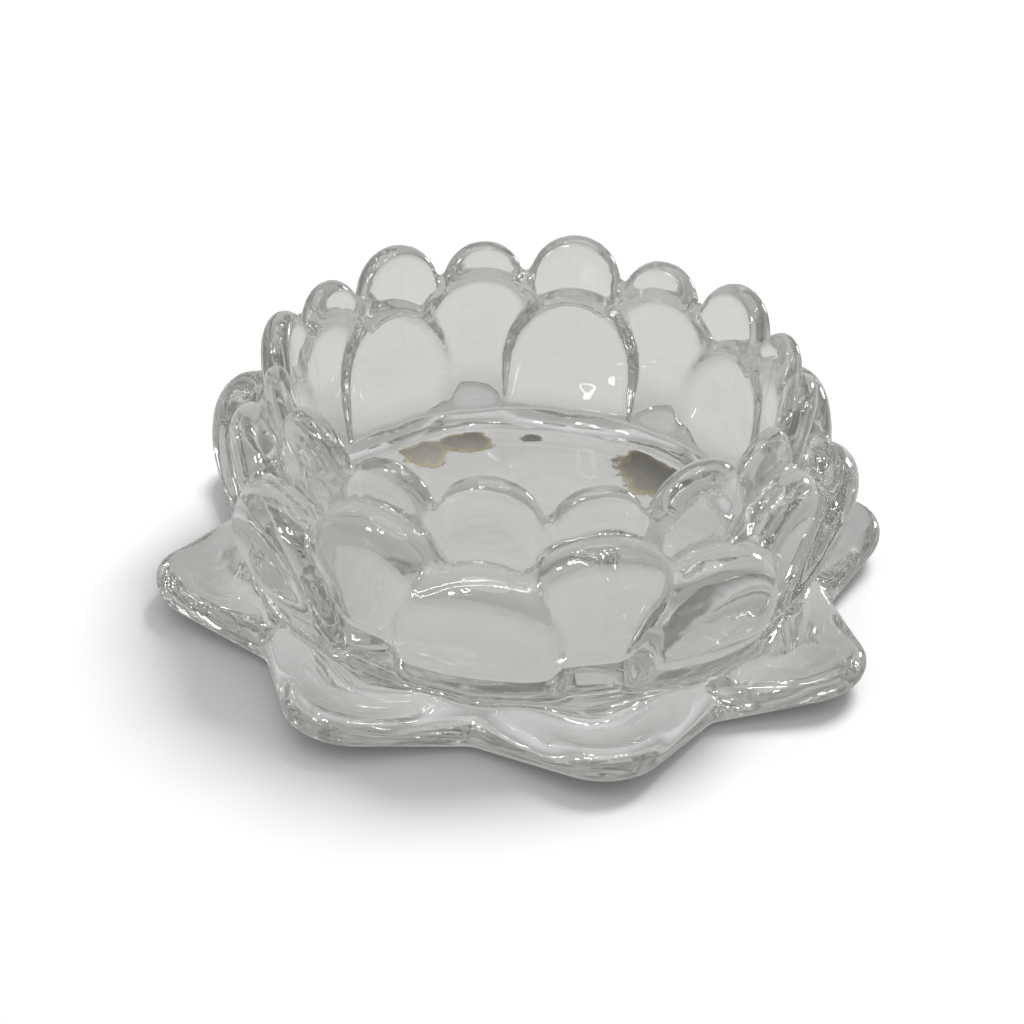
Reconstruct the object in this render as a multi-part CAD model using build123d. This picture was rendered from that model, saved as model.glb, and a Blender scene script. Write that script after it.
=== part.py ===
from build123d import *
import math
import os

# A clear glass lotus bowl: a pressed cup with two rows of rim petals, two rows of outer petals and
# a ring of leaves bonded to it. Millimetres, +Z up, origin on the table under the bowl's axis.
# Every petal is shaped pointing along +X and then turned to its place.

# Whole object
LEAF_SPAN = 152.0
HEIGHT = 54.5
PETALS_PER_ROW = 8

# Cup: flared inside wall, coved floor with a raised lens, upright outside with flat seats, hollow foot
FLOOR_HEIGHT = 12.5
FLOOR_WALL_RADIUS = 43.3
WALL_FLARE_ANGLE = 8.5
EDGE_DEPTH = 20.5
FLOOR_COVE = 3.5
LENS_RADIUS = 22.0
LENS_RISE = 1.2
FOOT_RING_WIDTH = 9.0
FOOT_RECESS = 2.4

# Rim petals: the outer row is taller and stands proud of the inner row
OUTER_RIM_WALL = 6.5
OUTER_RIM_ARCH_RADIUS = 12.0
INNER_RIM_DROP = 1.6
INNER_RIM_WALL = 5.4
INNER_RIM_ARCH_RADIUS = 11.2
RIM_FLANK_ANGLE = 10.0
RIM_RAKE = 35.0

# Middle petals, under the inner rim petals
MIDDLE_TOP = 44.3
MIDDLE_ARCH_RADIUS = 14.5
MIDDLE_FLANK_ANGLE = -4.0
MIDDLE_CREST_RADIUS = 57.0
MIDDLE_FACE_RADIUS = 61.0
MIDDLE_BASE_RADIUS = 54.0
MIDDLE_LIP = 6.0

# Lower petals, under the outer rim petals
LOWER_TOP = 39.0
LOWER_ARCH_RADIUS = 15.5
LOWER_FLANK_ANGLE = -9.0
LOWER_CREST_RADIUS = 60.8
LOWER_FACE_RADIUS = 65.8
LOWER_BASE_RADIUS = 50.5
LOWER_BELLY = 4.6

# Form shared by the middle and lower petals: rakes of the crest towards the face and the wall
FACE_RAKE = 45.0
BACK_RAKE = 34.5

# Leaves
LEAF_THICKNESS = 6.8
LEAF_TIP_HEIGHT = 8.0
LEAF_TILT = 9.0
LEAF_TIP_ROUND = 14.0
LEAF_NOTCH_RADIUS = 62.4
LEAF_RAKE = 30.0
LEAF_CLEARANCE = 0.8

PITCH = 360.0 / PETALS_PER_ROW
FRONT = -90.0
FLARE = math.tan(math.radians(WALL_FLARE_ANGLE))
EDGE_HEIGHT = HEIGHT - EDGE_DEPTH
EDGE_RADIUS = FLOOR_WALL_RADIUS + (EDGE_HEIGHT - FLOOR_HEIGHT) * FLARE
SEAT_RADIUS = EDGE_RADIUS + INNER_RIM_WALL


def inside_radius(height):
    """Radius of the bowl's inside wall at a height."""
    return EDGE_RADIUS + (height - EDGE_HEIGHT) * FLARE


def seat_prism(radius, height):
    """Upright prism with a flat side for every petal of both rows."""
    plan = RegularPolygon(radius, 2 * PETALS_PER_ROW, major_radius=False, rotation=PITCH / 4)
    return extrude(plan, height)


def seat_block():
    """The cup's outside, a flat seat for every petal."""
    return seat_prism(SEAT_RADIUS, EDGE_HEIGHT)


def bowl_cup():
    """The cup: the seat block hollowed by the bowl's turned inside and by the foot's recess."""
    cove_top = FLOOR_HEIGHT + FLOOR_COVE
    inside = Polyline(
        (0, HEIGHT),
        (inside_radius(HEIGHT), HEIGHT),
        (inside_radius(cove_top), cove_top),
        (FLOOR_WALL_RADIUS - FLOOR_COVE, FLOOR_HEIGHT),
        (LENS_RADIUS, FLOOR_HEIGHT),
        (LENS_RADIUS - LENS_RISE, FLOOR_HEIGHT + LENS_RISE),
        (0, FLOOR_HEIGHT + LENS_RISE),
        close=True,
    )
    bowl = revolve(make_face(Plane.XZ * inside), Axis.Z)
    return seat_block() - bowl - seat_prism(SEAT_RADIUS - FOOT_RING_WIDTH, FOOT_RECESS)


def sector(half_angle):
    """A tall wedge about +X, between two radial planes."""
    reach = LEAF_SPAN
    half_width = reach * math.tan(math.radians(half_angle))
    plan = Polyline((0, 0), (reach, -half_width), (reach, half_width), close=True)
    return extrude(make_face(plan), 2 * HEIGHT)


def raked_plane(radius, height, rake):
    """Plane across a petal, with its normal raked below the level outward direction."""
    turn = math.radians(rake)
    return Plane((radius, 0, height), x_dir=(0, 1, 0), z_dir=(math.cos(turn), 0, -math.sin(turn)))


def arch_outline(radius, flank_angle):
    """Round-topped outline, its top at the origin, with straight sides that spread or close downwards."""
    turn = math.radians(flank_angle)
    side = radius * math.cos(turn)
    spring = radius * math.sin(turn) - radius
    bottom = -HEIGHT
    foot = side + (spring - bottom) * math.tan(turn)
    arch = ThreePointArc((-side, spring), (0, 0), (side, spring))
    return make_face(arch + Polyline((side, spring), (foot, bottom), (-foot, bottom), (-side, spring)))


def raked_arch(crest_radius, top, arch_radius, flank_angle, face_rake, back_rake):
    """An arch whose top falls away both ways from a crest, as two crossing raked arches leave it."""
    outline = arch_outline(arch_radius, flank_angle)
    towards_face = extrude(raked_plane(crest_radius, top, face_rake) * outline, HEIGHT, both=True)
    towards_wall = extrude(raked_plane(crest_radius, top, -back_rake) * outline, HEIGHT, both=True)
    return towards_face & towards_wall


def rim_petal(top, wall, arch_radius):
    """A petal of the rim: a leaning wall under a raked arch, standing on the cup's edge."""
    foot = raked_plane(EDGE_RADIUS, EDGE_HEIGHT, WALL_FLARE_ANGLE)
    leaning = extrude(foot * Rectangle(LEAF_SPAN, LEAF_SPAN), wall)
    crest = inside_radius(top) + wall / 2
    arch = raked_arch(crest, top, arch_radius, RIM_FLANK_ANGLE, RIM_RAKE, RIM_RAKE)
    return leaning & arch & Pos(0, 0, EDGE_HEIGHT) * sector(PITCH / 4)


def outer_rim_petal():
    """A petal of the taller row."""
    return rim_petal(HEIGHT, OUTER_RIM_WALL, OUTER_RIM_ARCH_RADIUS)


def inner_rim_petal():
    """A petal of the lower row."""
    return rim_petal(HEIGHT - INNER_RIM_DROP, INNER_RIM_WALL, INNER_RIM_ARCH_RADIUS)


def middle_block():
    """The room of a middle petal: behind its flat face and between two radial planes."""
    section = Polyline((0, 0), (MIDDLE_BASE_RADIUS, 0), (MIDDLE_FACE_RADIUS, MIDDLE_TOP), (0, MIDDLE_TOP), close=True)
    return extrude(make_face(Plane.XZ * section), LEAF_SPAN, both=True) & sector(PITCH / 4)


def middle_petal():
    """A middle petal, with a flat face and a lip that stands free of the rim petals."""
    arch = raked_arch(MIDDLE_CREST_RADIUS, MIDDLE_TOP, MIDDLE_ARCH_RADIUS, MIDDLE_FLANK_ANGLE, FACE_RAKE, BACK_RAKE)
    crevice = Pos(MIDDLE_FACE_RADIUS - MIDDLE_LIP, 0, EDGE_HEIGHT) * Box(
        LEAF_SPAN, LEAF_SPAN, HEIGHT, align=(Align.MAX, Align.CENTER, Align.MIN))
    return (middle_block() & arch) - [seat_block(), crevice, leaf_bed()]


def lower_petal():
    """A lower petal, with a bellied face that laps in front of the middle petals."""
    belly = ((LOWER_BASE_RADIUS + LOWER_FACE_RADIUS) / 2 + LOWER_BELLY, LOWER_TOP / 2)
    face = ThreePointArc((LOWER_BASE_RADIUS, 0), belly, (LOWER_FACE_RADIUS, LOWER_TOP))
    back = Polyline(face @ 1, (0, LOWER_TOP), (0, 0), face @ 0)
    body = extrude(make_face(Plane.XZ * (face + back)), LEAF_SPAN, both=True)
    arch = raked_arch(LOWER_CREST_RADIUS, LOWER_TOP, LOWER_ARCH_RADIUS, LOWER_FLANK_ANGLE, FACE_RAKE, BACK_RAKE)
    seats = [seat_block(), outer_rim_petal()] + half_pitch_pair(middle_block()) + half_pitch_pair(leaf_bed())
    return (body & arch) - seats


def leaf_plane():
    """Plane through the middle of a leaf's thickness, tilted up to the tip, where its origin is."""
    tilt = math.radians(LEAF_TILT)
    return Plane((LEAF_SPAN / 2, 0, LEAF_TIP_HEIGHT), x_dir=(math.cos(tilt), 0, math.sin(tilt)),
                 z_dir=(-math.sin(tilt), 0, math.cos(tilt)))


def leaf_bed():
    """Everything under a leaf's top face, between the radial planes where it meets its neighbours."""
    top = leaf_plane().offset(LEAF_THICKNESS / 2)
    return extrude(top * Rectangle(2 * LEAF_SPAN, LEAF_SPAN), -HEIGHT) & sector(PITCH / 2)


def leaf():
    """A leaf: a tilted slab with a round tip, a raked edge and sides cut to meet its neighbours."""
    half = math.radians(PITCH / 2)
    notch = ((LEAF_NOTCH_RADIUS * math.cos(half) - LEAF_SPAN / 2) / math.cos(math.radians(LEAF_TILT)),
             LEAF_NOTCH_RADIUS * math.sin(half))
    outline = leaf_outline(notch)
    rake_up = extrude(leaf_plane() * Rot(0, LEAF_RAKE, 0) * outline, LEAF_SPAN / 4, both=True)
    rake_down = extrude(leaf_plane() * Rot(0, -LEAF_RAKE, 0) * outline, LEAF_SPAN / 4, both=True)
    slab = extrude(leaf_plane() * Rectangle(LEAF_SPAN, LEAF_SPAN), LEAF_THICKNESS / 2, both=True)
    sides = Pos(0, 0, LEAF_CLEARANCE) * sector(PITCH / 2)
    return (slab & rake_up & rake_down & sides) - seat_block()


def leaf_outline(notch):
    """Plan of a leaf with its tip at the origin: sides from the notches run tangent into the round tip."""
    away_x = notch[0] + LEAF_TIP_ROUND
    away = math.hypot(away_x, notch[1])
    turn = math.atan2(notch[1], away_x) - math.acos(LEAF_TIP_ROUND / away)
    touch = (LEAF_TIP_ROUND * (math.cos(turn) - 1), LEAF_TIP_ROUND * math.sin(turn))
    slope = (notch[1] - touch[1]) / (notch[0] - touch[0])
    root_x = notch[0] - LEAF_TIP_ROUND
    root_y = notch[1] + slope * (root_x - notch[0])
    tip = ThreePointArc((touch[0], -touch[1]), (0, 0), touch)
    sides = Polyline(touch, (root_x, root_y), (-LEAF_SPAN / 2, root_y), (-LEAF_SPAN / 2, -root_y),
                     (root_x, -root_y), (touch[0], -touch[1]))
    return make_face(tip + sides)


def half_pitch_pair(solid):
    """The two neighbours of a petal from the row that stands half a pitch away."""
    return [Rot(0, 0, PITCH / 2) * solid, Rot(0, 0, -PITCH / 2) * solid]


def export_row(name, solid, shift):
    """Writes a petal and its turned copies all round the bowl, the first one nearest the front."""
    for index in range(PETALS_PER_ROW):
        turned = Rot(0, 0, FRONT + shift + index * PITCH) * solid
        export_step(turned, f"parts/{name}_{index + 1}.step")


def main():
    os.makedirs("parts", exist_ok=True)
    export_step(bowl_cup(), "parts/bowl_cup.step")
    export_row("rim_petal_outer", outer_rim_petal(), PITCH / 2)
    export_row("rim_petal_inner", inner_rim_petal(), 0)
    export_row("lower_petal", lower_petal(), PITCH / 2)
    export_row("middle_petal", middle_petal(), 0)
    export_row("leaf", leaf(), 0)


if __name__ == "__main__":
    main()
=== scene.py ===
import logging
from dataclasses import dataclass
from enum import Enum
from typing import Any, Optional

import bpy
import numpy as np
from mathutils import Matrix, Vector


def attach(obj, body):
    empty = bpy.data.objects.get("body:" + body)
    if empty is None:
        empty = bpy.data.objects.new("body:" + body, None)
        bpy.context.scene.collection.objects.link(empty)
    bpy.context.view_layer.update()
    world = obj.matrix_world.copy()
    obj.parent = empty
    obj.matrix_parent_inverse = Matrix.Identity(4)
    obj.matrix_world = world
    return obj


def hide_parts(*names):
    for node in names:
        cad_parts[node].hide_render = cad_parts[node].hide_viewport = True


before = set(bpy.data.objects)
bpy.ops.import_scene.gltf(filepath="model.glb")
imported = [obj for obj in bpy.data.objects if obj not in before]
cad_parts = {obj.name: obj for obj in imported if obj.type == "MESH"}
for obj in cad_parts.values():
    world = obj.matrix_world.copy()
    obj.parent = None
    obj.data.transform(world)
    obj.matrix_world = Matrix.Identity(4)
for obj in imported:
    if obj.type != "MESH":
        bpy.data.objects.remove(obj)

LOG = logging.getLogger("lotus_bowl")
MM = 0.001
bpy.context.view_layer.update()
PETALS = 8

Colour = tuple[float, float, float, float]
Place = tuple[float, float, float]
Pair = tuple[float, float]

# Sockets of a Mix node that blends two colours.
MIX_FIRST, MIX_SECOND, MIX_RESULT = 6, 7, 2


def linear(hex_colour: str) -> Colour:
    """Turn an sRGB hex colour into linear RGBA.

    Args:
        hex_colour: Six hex digits after a hash sign.

    Returns:
        Linear red, green and blue with an alpha of one.
    """
    srgb = np.array([int(hex_colour[i:i + 2], 16) for i in (1, 3, 5)]) / 255
    value = np.where(srgb <= 0.04045, srgb / 12.92, ((srgb + 0.055) / 1.055) ** 2.4)
    return (*value.tolist(), 1.0)


def grey(level: float) -> Colour:
    """Linear grey of a level."""
    return (level, level, level, 1.0)


def add_node(tree: bpy.types.NodeTree, kind: str, links: Optional[dict[Any, Any]] = None,
             **settings: Any) -> Any:
    """Add a node, set its values and link its inputs.

    Args:
        tree: Node tree that gets the node.
        kind: Blender's name for the node's type.
        links: Input name or index to the output socket that feeds it.
        settings: Node properties, or input values where no such property exists.

    Returns:
        The new node.
    """
    node = tree.nodes.new(kind)
    for name, value in settings.items():
        if hasattr(node, name):
            setattr(node, name, value)
        else:
            node.inputs[name.replace("_", " ")].default_value = value
    for name, socket in (links or {}).items():
        tree.links.new(socket, node.inputs[name])
    return node


def empty_tree(owner: Any) -> bpy.types.NodeTree:
    """Give a material or a world an empty node tree.

    Args:
        owner: The material or world.

    Returns:
        Its node tree.
    """
    owner.use_nodes = True
    owner.node_tree.nodes.clear()
    return owner.node_tree


def fill_ramp(ramp: Any, stops: list[tuple[float, Colour]]) -> None:
    """Set the stops of a new colour ramp node.

    Args:
        ramp: The node.
        stops: Positions from zero to one, each with its colour.
    """
    elements = ramp.color_ramp.elements
    elements.remove(elements[1])
    elements[0].position, elements[0].color = stops[0]
    for position, colour in stops[1:]:
        elements.new(position).color = colour


def loft_mesh(name: str, rings: np.ndarray) -> bpy.types.Mesh:
    """Close a stack of rings into a solid mesh with a pole at each end.

    The surface is a grid: one parameter runs along the stack, the other around each ring.

    Args:
        name: Name of the mesh.
        rings: Points in millimetres, shaped (rings, points around, 3); the first and last ring are each one
            point.

    Returns:
        A closed mesh in metres whose faces point outwards.
    """
    count, around = rings.shape[:2]
    inner = rings[1:-1].reshape(-1, 3)
    points = np.vstack([rings[0, :1], inner, rings[-1, :1]]) * MM
    step = np.arange(around)
    after = (step + 1) % around
    lower = 1 + np.arange(count - 3)[:, None] * around
    upper = lower + around
    quads = np.stack([lower + step, lower + after, upper + after, upper + step], -1).reshape(-1, 4)
    last = 1 + (count - 3) * around
    first_fan = np.stack([np.zeros_like(step), after + 1, step + 1], -1)
    last_fan = np.stack([np.full_like(step, len(points) - 1), last + step, last + after], -1)
    fans = np.vstack([first_fan, last_fan])
    # A mesh that encloses a negative volume is inside out, so its faces are turned round.
    a, b, c = (points[np.vstack([fans, quads[:, :3], quads[:, [0, 2, 3]]])[:, i]] for i in range(3))
    if np.einsum("ij,ij->i", a, np.cross(b, c)).sum() < 0:
        quads, fans = quads[:, ::-1], fans[:, ::-1]
    mesh = bpy.data.meshes.new(name)
    mesh.from_pydata(points.tolist(), [], quads.tolist() + fans.tolist())
    mesh.update()
    return mesh


def lathe_rings(profile: np.ndarray, around: int = 192) -> np.ndarray:
    """Turn a profile about the bowl's axis.

    Args:
        profile: Radius and height pairs in millimetres; the first and last radius are zero.
        around: Points in each ring.

    Returns:
        Rings shaped (profile points, around, 3).
    """
    angle = np.linspace(0, 2 * np.pi, around, endpoint=False)
    radius, height = profile[:, :1], profile[:, 1:]
    level = np.broadcast_to(height, (len(profile), around))
    return np.stack([radius * np.cos(angle), radius * np.sin(angle), level], -1)


def arc(centre: Pair, radius: float, start: float, end: float, count: int) -> np.ndarray:
    """Points of a circular arc, from one angle in degrees to another."""
    angle = np.radians(np.linspace(start, end, count))
    return np.stack([centre[0] + radius * np.cos(angle), centre[1] + radius * np.sin(angle)], -1)


def run(start: np.ndarray, end: np.ndarray, count: int) -> np.ndarray:
    """Points of a straight run without its two ends."""
    share = np.linspace(0, 1, count + 2)[1:-1, None]
    return np.asarray(start) * (1 - share) + np.asarray(end) * share


def ways_in(outline: np.ndarray, fade: float) -> np.ndarray:
    """Work out the way in from each point of an outline.

    It is the unit normal towards the middle, times the share of the outline's height to the power of fade.
    So a fade above zero turns a broad shoulder into a crisp edge lower down.

    Args:
        outline: Across and up of each point.
        fade: Power of the height's share; zero leaves every normal whole.

    Returns:
        Across and up of each point's way in.
    """
    chord = np.roll(outline, -1, 0) - np.roll(outline, 1, 0)
    tangent = chord / np.linalg.norm(chord, axis=1, keepdims=True)
    inward = np.stack([-tangent[:, 1], tangent[:, 0]], -1)
    if ((outline.mean(0) - outline) * inward).sum() < 0:
        inward = -inward
    height = outline[:, 1:] - outline[:, 1].min()
    return inward * (height / height.max()) ** fade


class Row(Enum):
    """The rows of petals: how the row's node names begin, and its turn from the front in pitches."""

    OUTER_RIM = ("rim_petal_outer", 0.5)
    INNER_RIM = ("rim_petal_inner", 0.0)
    MIDDLE = ("middle_petal", 0.0)
    LOWER = ("lower_petal", 0.5)
    LEAF = ("leaf", 0.0)

    @property
    def nodes(self) -> list[str]:
        """Names of the row's nodes."""
        return [f"{self.value[0]}_{index + 1}" for index in range(PETALS)]

    @property
    def turn(self) -> float:
        """Share of a pitch that the row is turned from the front."""
        return self.value[1]


@dataclass(frozen=True)
class RoundedEdge:
    """How a petal's outline turns into one of its faces: a quarter ellipse."""

    inset: float
    depth: float
    steps: int = 7

    def quarter(self) -> tuple[np.ndarray, np.ndarray]:
        """Insets and depths from the outline to the face: inset a(1 - cos t), depth b(1 - sin t)."""
        turn = np.linspace(0, np.pi / 2, self.steps)
        return self.inset * (1 - np.cos(turn)), self.depth * (1 - np.sin(turn))


@dataclass(frozen=True)
class Arch:
    """A petal's outline: a round top, sides that spread by the flank angle downwards, a straight bottom."""

    top: float
    radius: float
    flank: float
    bottom: float
    top_steps: int = 61
    side_steps: int = 9

    def outline(self) -> np.ndarray:
        """Draw the outline: an arc from flank to flank, then straight runs down, along the bottom and up.

        The flank is in degrees from upright, and a negative one closes the sides downwards.

        Returns:
            Across and up in millimetres, anticlockwise.
        """
        over = arc((0.0, self.top - self.radius), self.radius, self.flank, 180 - self.flank, self.top_steps)
        drop = over[0, 1] - self.bottom
        foot = over[0, 0] + drop * np.tan(np.radians(self.flank))
        right, left = np.array([foot, self.bottom]), np.array([-foot, self.bottom])
        steps = self.side_steps
        return np.vstack([over, run(over[-1], left, steps), [left], run(left, right, steps), [right],
                          run(right, over[0], steps)])


@dataclass(frozen=True)
class BowlWall:
    """Inside of the bowl and the hidden body that the petals stand on, in millimetres and degrees."""

    floor: float = 12.5
    floor_radius: float = 43.3
    flare: float = 8.5
    cove: float = 4.0
    cove_run: float = 1.85
    dome_radius: float = 27.0
    dome_rise: float = 2.2
    foot_inside: float = 41.0
    foot_recess: float = 2.4
    outside: tuple[Pair, ...] = ((46.0, 0.0), (49.0, 0.5), (51.0, 0.6), (53.0, 8.0), (53.0, 34.0))
    body_top: float = 45.0
    body_wall: float = 3.0
    over_rim: float = 62.0
    recess_steps: int = 12
    dome_steps: int = 10
    flat_steps: int = 4
    cove_steps: int = 9
    wall_steps: int = 14

    def radius(self, height: Any) -> Any:
        """Radius of the inside wall at a height."""
        return self.floor_radius + (height - self.floor) * np.tan(np.radians(self.flare))

    def floor_height(self, radius: np.ndarray) -> np.ndarray:
        """Height of the floor at a radius outside the dome: level, then up into the cove as a square."""
        start = self.floor_radius - self.cove
        return self.floor + self.cove * np.clip((radius - start) / (self.cove_run * self.cove), 0, 1) ** 2

    def body(self) -> np.ndarray:
        """Turn the solid body: a profile behind the petals, on a foot ring round a shallow recess.

        The recess is as deep as its depth times the squared cosine of a quarter turn across it.

        Returns:
            Rings from the middle of the recess over the outside to the middle of the top.
        """
        share = np.linspace(0, 1, self.recess_steps)
        depth = self.foot_recess * np.cos(share * np.pi / 2) ** 2
        recess = np.stack([self.foot_inside * share, depth], -1)
        top = [(self.radius(self.body_top) + self.body_wall, self.body_top), (0, self.body_top)]
        return lathe_rings(np.vstack([recess, self.outside, top]))

    def hollow(self) -> np.ndarray:
        """Turn the bowl's inside: a domed floor, a round cove and the flared wall past the rim.

        The dome's height is its rise times (1 - s squared) to the power of one and a half, with s the share
        of its radius. The cove is a quadratic curve drawn to the corner of floor and wall.

        Returns:
            Rings from the middle of the floor to the axis above the rim.
        """
        across = np.linspace(0, 1, self.dome_steps)
        swell = self.floor + self.dome_rise * (1 - across ** 2) ** 1.5
        dome = np.stack([self.dome_radius * across, swell], -1)
        turn = np.linspace(0, 1, self.cove_steps)[:, None]
        start = np.array([self.floor_radius - self.cove, self.floor])
        corner = np.array([self.floor_radius, self.floor])
        end = np.array([self.radius(self.floor + self.cove), self.floor + self.cove])
        cove = (1 - turn) ** 2 * start + 2 * turn * (1 - turn) * corner + turn ** 2 * end
        heights = np.linspace(self.floor + self.cove, self.over_rim, self.wall_steps)[1:]
        wall = np.stack([self.radius(heights), heights], -1)
        flat = run(dome[-1], start, self.flat_steps)
        return lathe_rings(np.vstack([dome, flat, cove, wall, [[0, self.over_rim]]]))


@dataclass(frozen=True, kw_only=True)
class PetalRow:
    """A row of equal petals round the bowl, each a thick slab with rounded edges; sizes in millimetres.

    A petal is worked out flat first, and then put in its place about +X. Each kind of petal has its own
    outline and its own way of doing that.
    """

    row: Row
    thickness: float
    front: RoundedEdge
    back: RoundedEdge
    fade: float = 0.0
    face_rings: int = 5

    def outline(self) -> np.ndarray:
        """Across and up of the flat petal's outline, which each kind of petal gives."""
        raise NotImplementedError

    def place(self, slab: np.ndarray) -> np.ndarray:
        """Positions of the flat petal's points about +X, which each kind of petal gives."""
        raise NotImplementedError

    def slab(self) -> np.ndarray:
        """Work out the flat petal's surface.

        One parameter follows the outline. The other goes from the middle of the back face to its edge, over
        the two quarter ellipses of the rim, and in to the middle of the front face. Each ring is the outline
        moved in by the inset, and on the faces shrunk to the middle.

        Returns:
            Across, up and depth, shaped (rings, outline points, 3); the front face is at depth zero.
        """
        outline = self.outline()
        middle = outline.mean(0)
        front_in, front_down = self.front.quarter()
        back_in, back_up = self.back.quarter()
        share = np.linspace(0, 1, self.face_rings + 1)[:-1]
        inset = np.concatenate([np.full(self.face_rings, self.back.inset), back_in[::-1], front_in,
                                np.full(self.face_rings, self.front.inset)])
        depth = np.concatenate([np.full(self.face_rings, -self.thickness), back_up[::-1] - self.thickness,
                                -front_down, np.zeros(self.face_rings)])
        size = np.concatenate([share, np.ones(len(back_in) + len(front_in)), share[::-1]])
        flat = outline + inset[:, None, None] * ways_in(outline, self.fade)
        flat = middle + size[:, None, None] * (flat - middle)
        return np.concatenate([flat, np.broadcast_to(depth[:, None, None], (*flat.shape[:2], 1))], -1)

    def build(self) -> list[bpy.types.Object]:
        """Make every petal of the row as a closed mesh object.

        Returns:
            The petals, not yet joined to the bowl.
        """
        shape = self.place(self.slab())
        petals = []
        for index in range(PETALS):
            angle = -np.pi / 2 + (index + self.row.turn) * 2 * np.pi / PETALS
            cos, sin = np.cos(angle), np.sin(angle)
            turn = np.array([[cos, -sin, 0], [sin, cos, 0], [0, 0, 1]])
            mesh = loft_mesh(f"{self.row.name.lower()}_blank_{index + 1}", shape @ turn.T)
            petals.append(bpy.data.objects.new(mesh.name, mesh))
        return petals


@dataclass(frozen=True, kw_only=True)
class RimPetals(PetalRow):
    """Lobes of the rim; thicker than their stand-off, so that their backs are buried in the bowl's wall."""

    arch: Arch
    stand_off: float
    wall: BowlWall = BowlWall()
    bend_height: float = 48.0

    def outline(self) -> np.ndarray:
        """Across and up of the arch."""
        return self.arch.outline()

    def place(self, slab: np.ndarray) -> np.ndarray:
        """Bend a flat lobe round the bowl.

        Its radius is the wall's at that height plus the stand-off and the depth. Its angle is the distance
        across over the radius of the lobe's middle at the bend height.

        Args:
            slab: Across, up and depth of the lobe.

        Returns:
            Positions about +X.
        """
        across, height, depth = slab[..., 0], slab[..., 1], slab[..., 2]
        radius = self.wall.radius(height) + self.stand_off + depth
        angle = across / (self.wall.radius(self.bend_height) + self.stand_off / 2)
        return np.stack([radius * np.cos(angle), radius * np.sin(angle), height], -1)


@dataclass(frozen=True, kw_only=True)
class StandingPetals(PetalRow):
    """Petals that stand against the bowl, with the radii of their face at the bottom and at a height."""

    arch: Arch
    foot: float
    face: float
    face_height: float
    belly: float
    crown: float
    crown_reach: float = 15.0

    def outline(self) -> np.ndarray:
        """Across and up of the arch."""
        return self.arch.outline()

    def place(self, slab: np.ndarray) -> np.ndarray:
        """Stand a flat petal against the bowl: its face leans out in a bow and falls back to both sides.

        The face's radius at a height is the straight lean plus belly times 4 s (1 - s), with s the share of
        the height, less crown times the square of the distance across over the crown's reach.

        Args:
            slab: Across, up and depth of the petal.

        Returns:
            Positions about +X.
        """
        across, height, depth = slab[..., 0], slab[..., 1], slab[..., 2]
        share = (height - self.arch.bottom) / (self.face_height - self.arch.bottom)
        bow = self.foot + (self.face - self.foot) * share + self.belly * 4 * share * (1 - share)
        radius = bow - self.crown * (across / self.crown_reach) ** 2 + depth
        return np.stack([radius, across, height], -1)


@dataclass(frozen=True, kw_only=True)
class Leaves(PetalRow):
    """Leaves that spread at the bottom, each tilted, dished on top and risen where it meets the petals."""

    row: Row = Row.LEAF
    thickness: float = 8.8
    front: RoundedEdge = RoundedEdge(inset=5.5, depth=4.6, steps=10)
    back: RoundedEdge = RoundedEdge(inset=6.5, depth=3.8, steps=9)
    tip: float = 76.0
    tip_round: float = 12.5
    notch: Pair = (57.65, 23.88)
    past_notch: float = 0.35
    root: float = 40.0
    tip_height: float = 11.4
    tilt: float = 9.0
    dish_depth: float = 4.2
    dish_middle: float = 64.0
    dish_spread: Pair = (5.5, 9.5)
    rise_height: float = 4.0
    rise_middle: float = 54.0
    rise_spread: Pair = (4.0, 16.0)
    moulded_depth: float = 5.4
    table_gap: float = 0.5
    tip_steps: int = 41
    side_steps: int = 12
    drop_steps: int = 3
    root_steps: int = 7

    def outline(self) -> np.ndarray:
        """Draw the plan: a round tip, sides that run tangent from it to the notches and on under the petals.

        Returns:
            Across and along in millimetres.
        """
        notch = np.array(self.notch)
        away = notch - np.array([self.tip - self.tip_round, 0.0])
        tangent = np.arccos(self.tip_round / np.linalg.norm(away))
        turn = np.degrees(np.arctan2(away[1], away[0]) - tangent)
        over = arc((0.0, self.tip - self.tip_round), self.tip_round, 90 - turn, 90 + turn, self.tip_steps)
        side = np.array([-notch[1], notch[0]])
        left = side + (side - over[-1]) * self.past_notch
        right = left * [-1, 1]
        low_left, low_right = np.array([left[0], self.root]), np.array([-left[0], self.root])
        return np.vstack([over, run(over[-1], left, self.side_steps),
                          [left], run(left, low_left, self.drop_steps),
                          [low_left], run(low_left, low_right, self.root_steps),
                          [low_right], run(low_right, right, self.drop_steps),
                          [right], run(right, over[0], self.side_steps)])

    def place(self, slab: np.ndarray) -> np.ndarray:
        """Lay a leaf: across and along lie level, and the depth is its height, tilted up towards the tip.

        A bell-shaped dish is pressed into its top and a bell-shaped rise meets the petals. Both fade to
        nothing at the moulded depth, and the underside stays clear of the table.

        Args:
            slab: Across, along and depth of the leaf.

        Returns:
            Positions about +X.
        """
        across, along, depth = slab[..., 0], slab[..., 1], slab[..., 2]
        top = self.tip_height + (along - self.tip) * np.tan(np.radians(self.tilt))
        upper = np.clip(1 + depth / self.moulded_depth, 0, 1)
        long, wide = self.dish_spread
        bell = np.exp(-((along - self.dish_middle) / long) ** 2 - (across / wide) ** 2)
        dish = self.dish_depth * bell * upper
        long, wide = self.rise_spread
        bell = np.exp(-((along - self.rise_middle) / long) ** 2 - (across / wide) ** 2)
        rise = self.rise_height * bell * upper
        return np.stack([along, across, np.maximum(top + depth - dish + rise, self.table_gap)], -1)


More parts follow.
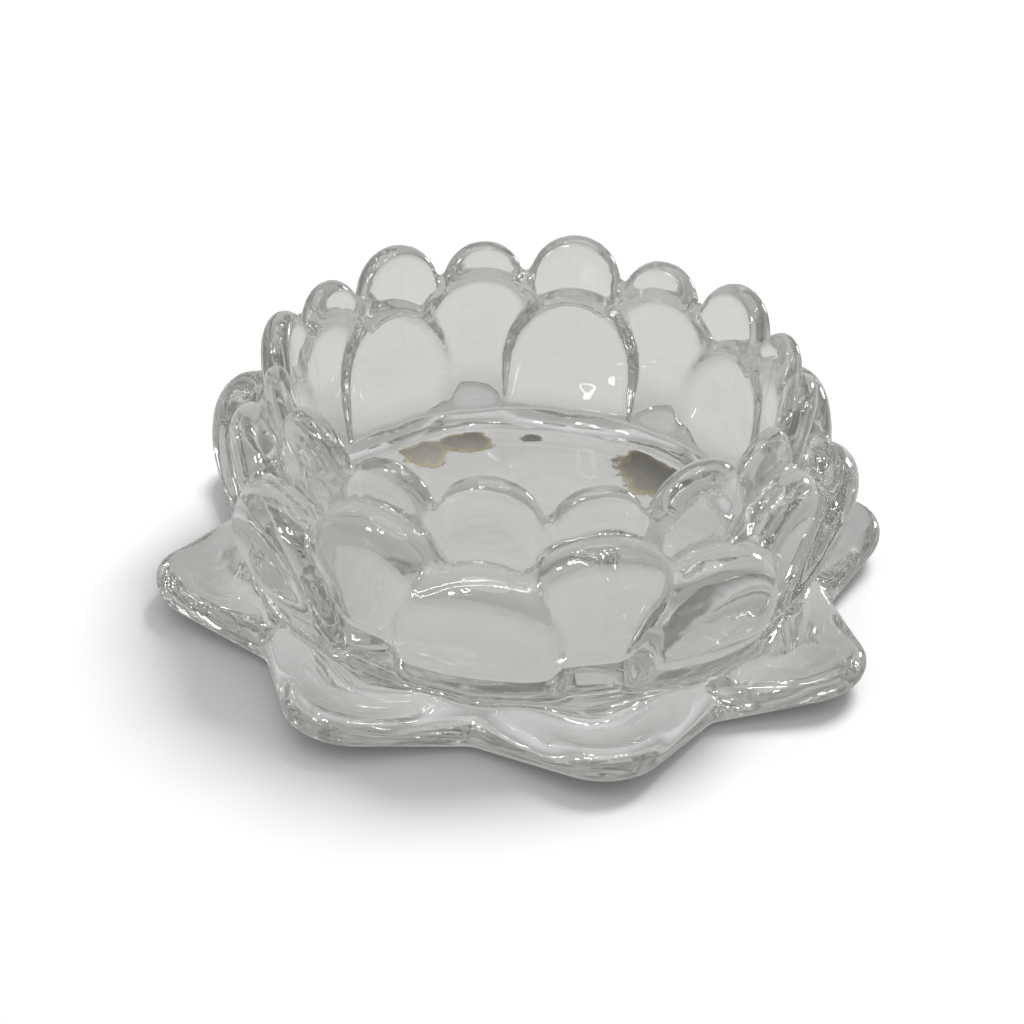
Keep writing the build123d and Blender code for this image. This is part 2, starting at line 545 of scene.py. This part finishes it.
@dataclass(frozen=True)
class PressedGlass:
    """Soda-lime glass, pressed and fire-polished: clear, faintly warm where thick, wavy, with seeds."""

    name: str = "pressed_soda_lime_glass"
    tint: str = "#FCFCFC"
    depth_colour: str = "#D0CFCA"
    depth_density: float = 8.0
    ior: float = 1.51
    roughness: float = 0.015
    wave_mm: float = 8.0
    wave_height_mm: float = 0.07
    seed_mm: float = 6.0
    seed_share: float = 0.05
    seed_height_mm: float = 0.06

    def material(self) -> bpy.types.Material:
        """Make the glass.

        Returns:
            A material with full transmission, absorption in its volume, a faint wave and scattered seeds.
        """
        material = bpy.data.materials.new(self.name)
        tree = empty_tree(material)
        place = add_node(tree, "ShaderNodeTexCoord")
        # The wave left by the mould bends what shows through the glass.
        wave = add_node(tree, "ShaderNodeTexNoise", {"Vector": place.outputs["Object"]},
                        Scale=1 / (self.wave_mm * MM), Detail=1.0, Roughness=0.4)
        bump = add_node(tree, "ShaderNodeBump", {"Height": wave.outputs["Fac"]}, Strength=1.0,
                        Distance=self.wave_height_mm * MM)
        # Seeds are tiny bubbles, which catch the lamps as bright specks.
        seeds = add_node(tree, "ShaderNodeTexVoronoi", {"Vector": place.outputs["Object"]},
                         Scale=1 / (self.seed_mm * MM))
        dots = add_node(tree, "ShaderNodeMapRange", {"Value": seeds.outputs["Distance"]},
                        interpolation_type="SMOOTHSTEP", From_Max=self.seed_share, To_Min=1.0, To_Max=0.0)
        bump = add_node(tree, "ShaderNodeBump",
                        {"Height": dots.outputs["Result"], "Normal": bump.outputs["Normal"]},
                        Strength=1.0, Distance=self.seed_height_mm * MM)
        surface = add_node(tree, "ShaderNodeBsdfPrincipled", {"Normal": bump.outputs["Normal"]},
                           Base_Color=linear(self.tint), Roughness=self.roughness, IOR=self.ior,
                           Transmission_Weight=1.0)
        # Absorption greys the thick places and leaves the thin rim clear.
        volume = add_node(tree, "ShaderNodeVolumeAbsorption", Color=linear(self.depth_colour),
                          Density=self.depth_density)
        add_node(tree, "ShaderNodeOutputMaterial", {"Surface": surface.outputs["BSDF"],
                                                    "Volume": volume.outputs["Volume"]})
        return material


@dataclass(frozen=True)
class DriedResidue:
    """Soot and water scale dried on the bowl's floor: dull grey with a frayed, yellow-brown tide line."""

    name: str = "dried_soot_and_scale"
    soot: str = "#A6A398"
    scale: str = "#BEBBB0"
    tide: str = "#E2D4AC"
    roughness: float = 0.85
    grain_mm: float = 2.2
    fray: float = 0.6
    tide_band: Pair = (0.94, 1.1)
    fade_band: Pair = (1.02, 1.26)
    scatter_mm: float = 0.6

    def material(self) -> bpy.types.Material:
        """Make the residue.

        Returns:
            A matt material, blotched inside and yellowed towards the edge, as "edge" measures it.
        """
        material = bpy.data.materials.new(self.name)
        tree = empty_tree(material)
        place = add_node(tree, "ShaderNodeTexCoord")
        grain = add_node(tree, "ShaderNodeTexNoise", {"Vector": place.outputs["Object"]},
                         Scale=1 / (self.grain_mm * MM), Detail=3.0)
        inside = add_node(tree, "ShaderNodeMix", {"Factor": grain.outputs["Fac"]}, data_type="RGBA")
        inside.inputs[MIX_FIRST].default_value = linear(self.soot)
        inside.inputs[MIX_SECOND].default_value = linear(self.scale)
        # The grain moves the edge in and out, so a stain frays and thins out instead of ending in a line.
        edge = add_node(tree, "ShaderNodeAttribute", attribute_name="edge")
        fray = add_node(tree, "ShaderNodeMath", {0: grain.outputs["Fac"], 2: edge.outputs["Fac"]},
                        operation="MULTIPLY_ADD")
        fray.inputs[1].default_value = self.fray
        line = add_node(tree, "ShaderNodeMapRange", {"Value": fray.outputs[0]}, From_Min=self.tide_band[0],
                        From_Max=self.tide_band[1])
        cover = add_node(tree, "ShaderNodeMapRange", {"Value": fray.outputs[0]}, From_Min=self.fade_band[0],
                         From_Max=self.fade_band[1], To_Min=1.0, To_Max=0.0)
        colour = add_node(tree, "ShaderNodeMix", {"Factor": line.outputs["Result"],
                                                  MIX_FIRST: inside.outputs[MIX_RESULT]}, data_type="RGBA")
        colour.inputs[MIX_SECOND].default_value = linear(self.tide)
        surface = add_node(tree, "ShaderNodeBsdfPrincipled",
                           {"Base Color": colour.outputs[MIX_RESULT], "Alpha": cover.outputs["Result"]},
                           Roughness=self.roughness, Subsurface_Weight=1.0,
                           Subsurface_Scale=self.scatter_mm * MM, Subsurface_Radius=(1.0, 1.0, 1.0))
        add_node(tree, "ShaderNodeOutputMaterial", {"Surface": surface.outputs["BSDF"]})
        return material


@dataclass(frozen=True)
class LotusBowl:
    """The bowl: the cup with every petal and leaf as one clear glass body; sizes in millimetres.

    The bridges fill the glass behind the lower petals.
    """

    wall: BowlWall = BowlWall()
    glass: PressedGlass = PressedGlass()
    outer_rim: RimPetals = RimPetals(
        row=Row.OUTER_RIM, arch=Arch(top=54.5, radius=10.2, flank=18.0, bottom=30.0), thickness=7.0,
        front=RoundedEdge(inset=6.0, depth=4.0, steps=9), back=RoundedEdge(inset=2.8, depth=3.0), fade=0.5,
        stand_off=6.6)
    inner_rim: RimPetals = RimPetals(
        row=Row.INNER_RIM, arch=Arch(top=52.9, radius=9.2, flank=16.0, bottom=30.0), thickness=5.8,
        front=RoundedEdge(inset=5.0, depth=3.2, steps=9), back=RoundedEdge(inset=2.4, depth=2.6), fade=0.5,
        stand_off=5.4)
    middle: StandingPetals = StandingPetals(
        row=Row.MIDDLE, arch=Arch(top=44.3, radius=15.2, flank=-4.0, bottom=4.0), thickness=8.6,
        front=RoundedEdge(inset=8.0, depth=5.6, steps=9), back=RoundedEdge(inset=3.0, depth=3.0), fade=1.0,
        foot=53.6, face=61.6, face_height=44.3, belly=1.0, crown=1.0)
    lower: StandingPetals = StandingPetals(
        row=Row.LOWER, arch=Arch(top=39.0, radius=17.2, flank=-4.0, bottom=4.0), thickness=10.0,
        front=RoundedEdge(inset=9.5, depth=6.8, steps=11), back=RoundedEdge(inset=3.2, depth=3.2), fade=1.0,
        foot=53.0, face=66.0, face_height=39.0, belly=3.4, crown=2.6)
    bridge: StandingPetals = StandingPetals(
        row=Row.LOWER, arch=Arch(top=36.8, radius=13.2, flank=-5.0, bottom=4.0), thickness=9.0,
        front=RoundedEdge(inset=1.0, depth=1.0, steps=3), back=RoundedEdge(inset=1.0, depth=1.0, steps=3),
        fade=1.0, foot=46.5, face=59.0, face_height=39.0, belly=3.2, crown=1.2)
    leaves: Leaves = Leaves()
    crease: float = 0.93
    polish_factor: float = 0.5
    polish_passes: int = 8

    def fuse(self) -> bpy.types.Object:
        """Unite the body, petals and leaves, take the bowl's inside out of them, and soften every crease.

        Returns:
            One closed glass object.
        """
        body = bpy.data.objects.new("lotus_glass", loft_mesh("lotus_glass", self.wall.body()))
        hollow = bpy.data.objects.new("hollow", loft_mesh("hollow", self.wall.hollow()))
        rows = [self.outer_rim, self.inner_rim, self.middle, self.lower, self.bridge, self.leaves]
        steps = [(petal, "UNION") for row in rows for petal in row.build()] + [(hollow, "DIFFERENCE")]
        bpy.context.scene.collection.objects.link(body)
        for tool, operation in steps:
            bpy.context.scene.collection.objects.link(tool)
            cut = body.modifiers.new(tool.name, "BOOLEAN")
            cut.operation = operation
            cut.solver = "MANIFOLD"
            cut.object = tool
        melt = body.modifiers.new("melt", "REMESH")
        melt.mode = "VOXEL"
        melt.voxel_size = self.crease * MM
        polish = body.modifiers.new("polish", "SMOOTH")
        polish.factor = self.polish_factor
        polish.iterations = self.polish_passes
        fused = bpy.data.meshes.new_from_object(body.evaluated_get(bpy.context.evaluated_depsgraph_get()))
        body.modifiers.clear()
        body.data = fused
        for tool, _ in steps:
            bpy.data.objects.remove(tool)
        fused.shade_smooth()
        return body

    def build(self) -> bpy.types.Object:
        """Make the bowl, dress it in glass and tie it to the frame.

        Returns:
            The finished piece.
        """
        bowl = self.fuse()
        bowl.data.materials.clear()
        bowl.data.materials.append(self.glass.material())
        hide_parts("bowl_cup", *[node for row in Row for node in row.nodes])
        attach(bowl, "root")
        return bowl


@dataclass(frozen=True)
class Stain:
    """One stain: its middle, half width and half length in millimetres, and the turn of its waves."""

    across: float
    along: float
    width: float
    length: float
    turn: float


@dataclass(frozen=True)
class ResidueStains:
    """Thin stains on the bowl's floor; each wave has a count, a height and a share of the stain's turn."""

    finish: DriedResidue = DriedResidue()
    wall: BowlWall = BowlWall()
    stains: tuple[Stain, ...] = (Stain(-15.2, 32.5, 5.2, 5.8, 0.4), Stain(-5.6, 36.2, 6.0, 4.8, 1.9),
                                 Stain(8.8, 36.0, 2.6, 1.5, 3.1), Stain(31.0, 17.5, 8.0, 10.6, 3.6))
    waves: tuple[tuple[float, float, float], ...] = ((2, 0.05, 1), (3, 0.07, -1), (5, 0.06, 2), (9, 0.04, 3))
    size: float = 1.08
    reach: float = 40.6
    thickness: float = 0.25
    underside: float = 0.06
    edge_height: float = 0.08
    around: int = 72
    under_rings: int = 6
    top_rings: int = 8

    def rings(self, stain: Stain) -> np.ndarray:
        """Work out one stain: a flat lens on the floor whose outline wanders.

        The outline is an ellipse times the size plus, for each wave, its height times the sine of its count
        times the angle plus its share of the turn. The top falls away from the middle as a fourth power.

        Args:
            stain: The stain.

        Returns:
            Rings from the middle of its underside over its edge to the middle of its top.
        """
        angle = np.linspace(0, 2 * np.pi, self.around, endpoint=False)
        count, swing, share = (column[:, None] for column in np.array(self.waves).T)
        wander = self.size + (swing * np.sin(count * angle + share * stain.turn)).sum(0)
        top = np.linspace(1, 0, self.top_rings + 1)[1:]
        size = np.concatenate([np.linspace(0, 1, self.under_rings), top])[:, None]
        height = np.concatenate([np.full(self.under_rings, self.underside),
                                 self.edge_height + self.thickness * (1 - top ** 4)])
        flat = np.stack([stain.across + stain.width * size * wander * np.cos(angle),
                         stain.along + stain.length * size * wander * np.sin(angle)], -1)
        flat *= np.minimum(1, self.reach / np.linalg.norm(flat, axis=2, keepdims=True))
        level = self.wall.floor_height(np.linalg.norm(flat, axis=2)) + height[:, None]
        return np.concatenate([flat, level[..., None]], -1)

    def build(self) -> list[bpy.types.Object]:
        """Make the stains, dress them and tie them to the frame.

        The "edge" attribute of a point is its distance from the stain's middle as a share of the outline's.

        Returns:
            The stains.
        """
        material = self.finish.material()
        pieces = []
        for index, stain in enumerate(self.stains):
            rings = self.rings(stain)
            mesh = loft_mesh(f"residue_{index + 1}", rings)
            reach = np.linalg.norm(rings - rings[-1, :1], axis=2)
            share = reach / reach.max(0)
            edge = mesh.attributes.new("edge", "FLOAT", "POINT")
            edge.data.foreach_set("value", np.concatenate([[0.0], share[1:-1].ravel(), [0.0]]))
            mesh.shade_smooth()
            mesh.materials.append(material)
            piece = bpy.data.objects.new(mesh.name, mesh)
            bpy.context.scene.collection.objects.link(piece)
            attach(piece, "root")
            pieces.append(piece)
        return pieces


@dataclass(frozen=True)
class SoftLamp:
    """A round soft lamp that faces the bowl, and what it shows on; in millimetres and watts."""

    name: str
    place: Place
    width: float
    power: float
    on_matt: bool = False
    in_mirror: bool = True
    through_glass: bool = True
    aim: Place = (0.0, 0.0, 25.0)

    def build(self) -> bpy.types.Object:
        """Hang the lamp.

        Returns:
            The lamp.
        """
        data = bpy.data.lights.new(self.name, "AREA")
        data.shape = "DISK"
        data.energy = self.power
        data.size = self.width * MM
        lamp = bpy.data.objects.new(self.name, data)
        lamp.location = Vector(self.place) * MM
        lamp.rotation_euler = (Vector(self.aim) - Vector(self.place)).to_track_quat("-Z", "Y").to_euler()
        lamp.visible_diffuse = self.on_matt
        lamp.visible_glossy = self.in_mirror
        lamp.visible_transmission = self.through_glass
        bpy.context.scene.collection.objects.link(lamp)
        return lamp


@dataclass(frozen=True)
class RingLamp(SoftLamp):
    """A ring lamp, as photo stands have; its mirror image is a small bright ring."""

    hole: float = 0.36
    middle: Place = (0.5, 0.5, 0.0)

    def build(self) -> bpy.types.Object:
        """Hang the lamp: a disk that shines only where it is further from its middle than the hole's share.

        Returns:
            The lamp.
        """
        lamp = super().build()
        lamp.data.use_nodes = True
        tree = lamp.data.node_tree
        place = add_node(tree, "ShaderNodeNewGeometry")
        away = add_node(tree, "ShaderNodeVectorMath", {0: place.outputs["Parametric"]}, operation="DISTANCE")
        away.inputs[1].default_value = self.middle
        band = add_node(tree, "ShaderNodeMath", {0: away.outputs["Value"]}, operation="GREATER_THAN")
        band.inputs[1].default_value = self.hole
        tree.links.new(band.outputs[0], tree.nodes["Emission"].inputs["Strength"])
        return lamp


@dataclass(frozen=True)
class Studio:
    """A pale floor, a key lamp, lamps for highlights only, a grey room and the camera; in millimetres."""

    eye: Place = (-112.9, -437.3, 289.7)
    aim: Place = (-3.4, 0.9, 16.1)
    roll: float = 2.92
    lens: float = 91.2
    sensor: float = 36.0
    floor_size: float = 6000.0
    floor_colour: str = "#FFFFFF"
    floor_in_glass: str = "#D8D8D6"
    floor_lift: float = 0.1
    # Levels of painted shade on the floor seen through the glass, by distance in millimetres from the axis.
    painted_shade: tuple[Pair, ...] = ((0.0, 0.9), (28.0, 0.9), (40.0, 0.82), (56.0, 0.82), (66.0, 0.64),
                               (78.0, 0.64), (104.0, 1.0))
    room: float = 0.88
    sky: tuple[tuple[float, str], ...] = ((0.0, "#6E6E6D"), (0.45, "#ACACAB"), (0.8, "#D6D6D6"),
                                          (1.0, "#E4E4E4"))
    back_wall: str = "#D2D2D0"
    back_reach: Pair = (0.2, 0.9)
    back_top: Pair = (0.2, 0.5)
    lamps: tuple[SoftLamp, ...] = (
        SoftLamp("key", (640.0, 480.0, 1250.0), 700.0, 14.5, on_matt=True, in_mirror=False,
                 through_glass=False),
        SoftLamp("window", (-700.0, -300.0, 500.0), 130.0, 0.8),
        SoftLamp("doorway", (600.0, 350.0, 140.0), 150.0, 1.0),
        SoftLamp("spot_1", (130.0, -260.0, 820.0), 44.0, 0.2),
        SoftLamp("spot_2", (250.0, -200.0, 820.0), 44.0, 0.2),
        SoftLamp("spot_3", (370.0, -140.0, 820.0), 44.0, 0.2),
        SoftLamp("spot_4", (-330.0, 120.0, 820.0), 44.0, 0.2),
        RingLamp("ring", (-330.0, -280.0, 470.0), 120.0, 1.9),
        SoftLamp("softbox", (0.0, -100.0, 1200.0), 1400.0, 8.0, through_glass=False),
    )
    bounces: int = 24

    def camera(self) -> None:
        """Place the camera at the eye, looking at the aim, rolled about its line of sight."""
        data = bpy.data.cameras.new("camera")
        data.lens = self.lens
        data.sensor_width = self.sensor
        camera = bpy.data.objects.new("camera", data)
        bpy.context.scene.collection.objects.link(camera)
        look = (Vector(self.aim) - Vector(self.eye)).to_track_quat("-Z", "Y").to_matrix()
        camera.matrix_world = Matrix.Translation(Vector(self.eye) * MM) @ (
            look @ Matrix.Rotation(np.radians(self.roll), 3, "Z")).to_4x4()
        bpy.context.scene.camera = camera

    def floor_material(self) -> bpy.types.Material:
        """Make the floor's surface.

        The eye sees a white floor with the bowl's shadow. In and through the glass the floor is a grey with
        painted shade that varies with the distance from the bowl's axis, dimmer under the bowl and dimmest
        under its leaves.

        Returns:
            The material.
        """
        material = bpy.data.materials.new("pale_floor")
        tree = empty_tree(material)
        path = add_node(tree, "ShaderNodeLightPath")
        through = add_node(tree, "ShaderNodeMath", {0: path.outputs["Is Transmission Ray"],
                                                    1: path.outputs["Is Glossy Ray"]}, operation="MAXIMUM")
        matt = add_node(tree, "ShaderNodeBsdfDiffuse", Color=linear(self.floor_colour))
        lift = add_node(tree, "ShaderNodeEmission", {"Strength": path.outputs["Is Camera Ray"]},
                        Color=grey(self.floor_lift))
        seen = add_node(tree, "ShaderNodeAddShader", {0: matt.outputs[0], 1: lift.outputs[0]})
        widest = self.painted_shade[-1][0]
        place = add_node(tree, "ShaderNodeNewGeometry")
        away = add_node(tree, "ShaderNodeVectorMath", {0: place.outputs["Position"]}, operation="LENGTH")
        reach = add_node(tree, "ShaderNodeMapRange", {"Value": away.outputs["Value"]}, From_Max=widest * MM)
        # Painted shade: the floor seen through the glass is dimmed by its distance from the axis, standing
        # in for its shadow.
        painted_shade = add_node(tree, "ShaderNodeValToRGB", {"Fac": reach.outputs["Result"]})
        fill_ramp(painted_shade, [(radius / widest, grey(level)) for radius, level in self.painted_shade])
        pale = add_node(tree, "ShaderNodeEmission", {"Strength": painted_shade.outputs["Color"]},
                        Color=linear(self.floor_in_glass))
        both = add_node(tree, "ShaderNodeMixShader",
                        {0: through.outputs[0], 1: seen.outputs[0], 2: pale.outputs[0]})
        add_node(tree, "ShaderNodeOutputMaterial", {"Surface": both.outputs[0]})
        return material

    def floor(self) -> None:
        """Lay the floor: one square at the height of zero."""
        half = self.floor_size / 2 * MM
        corners = [(-half, -half, 0), (half, -half, 0), (half, half, 0), (-half, half, 0)]
        mesh = bpy.data.meshes.new("floor")
        mesh.from_pydata(corners, [], [(0, 1, 2, 3)])
        mesh.materials.append(self.floor_material())
        floor = bpy.data.objects.new("floor", mesh)
        bpy.context.scene.collection.objects.link(floor)

    def world(self) -> None:
        """Surround the bowl with a grey room, paler overhead and at the back, which glass shows in full."""
        world = bpy.data.worlds.new("room")
        bpy.context.scene.world = world
        tree = empty_tree(world)
        place = add_node(tree, "ShaderNodeTexCoord")
        way = add_node(tree, "ShaderNodeSeparateXYZ", {0: place.outputs["Generated"]})
        ramp = add_node(tree, "ShaderNodeValToRGB", {"Fac": way.outputs["Z"]})
        fill_ramp(ramp, [(position, linear(colour)) for position, colour in self.sky])
        behind = add_node(tree, "ShaderNodeMapRange", {"Value": way.outputs["Y"]},
                          interpolation_type="SMOOTHSTEP", From_Min=self.back_reach[0],
                          From_Max=self.back_reach[1])
        low = add_node(tree, "ShaderNodeMapRange", {"Value": way.outputs["Z"]}, From_Min=self.back_top[0],
                       From_Max=self.back_top[1], To_Min=1.0, To_Max=0.0)
        wall = add_node(tree, "ShaderNodeMath", {0: behind.outputs["Result"], 1: low.outputs["Result"]},
                        operation="MULTIPLY")
        room = add_node(tree, "ShaderNodeMix", {"Factor": wall.outputs[0], MIX_FIRST: ramp.outputs["Color"]},
                        data_type="RGBA")
        room.inputs[MIX_SECOND].default_value = linear(self.back_wall)
        path = add_node(tree, "ShaderNodeLightPath")
        clear = add_node(tree, "ShaderNodeMapRange", {"Value": path.outputs["Is Transmission Ray"]},
                         To_Min=self.room)
        sky = add_node(tree, "ShaderNodeBackground", {"Color": room.outputs[MIX_RESULT],
                                                      "Strength": clear.outputs["Result"]})
        add_node(tree, "ShaderNodeOutputWorld", {"Surface": sky.outputs[0]})

    def build(self) -> None:
        """Set up the floor, light and camera, with light paths deep enough for thick glass."""
        self.floor()
        self.world()
        for lamp in self.lamps:
            lamp.build()
        self.camera()
        scene = bpy.context.scene
        scene.view_settings.view_transform = "Standard"
        scene.cycles.max_bounces = self.bounces
        scene.cycles.transmission_bounces = self.bounces
        scene.cycles.glossy_bounces = self.bounces
        scene.cycles.caustics_refractive = False
        scene.cycles.caustics_reflective = False


def main() -> None:
    """Build the bowl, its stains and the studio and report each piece."""
    logging.basicConfig(level=logging.INFO)
    for piece in [LotusBowl().build(), *ResidueStains().build()]:
        LOG.info("%s: %d faces", piece.name, len(piece.data.polygons))
    Studio().build()


if __name__ == "__main__":
    main()
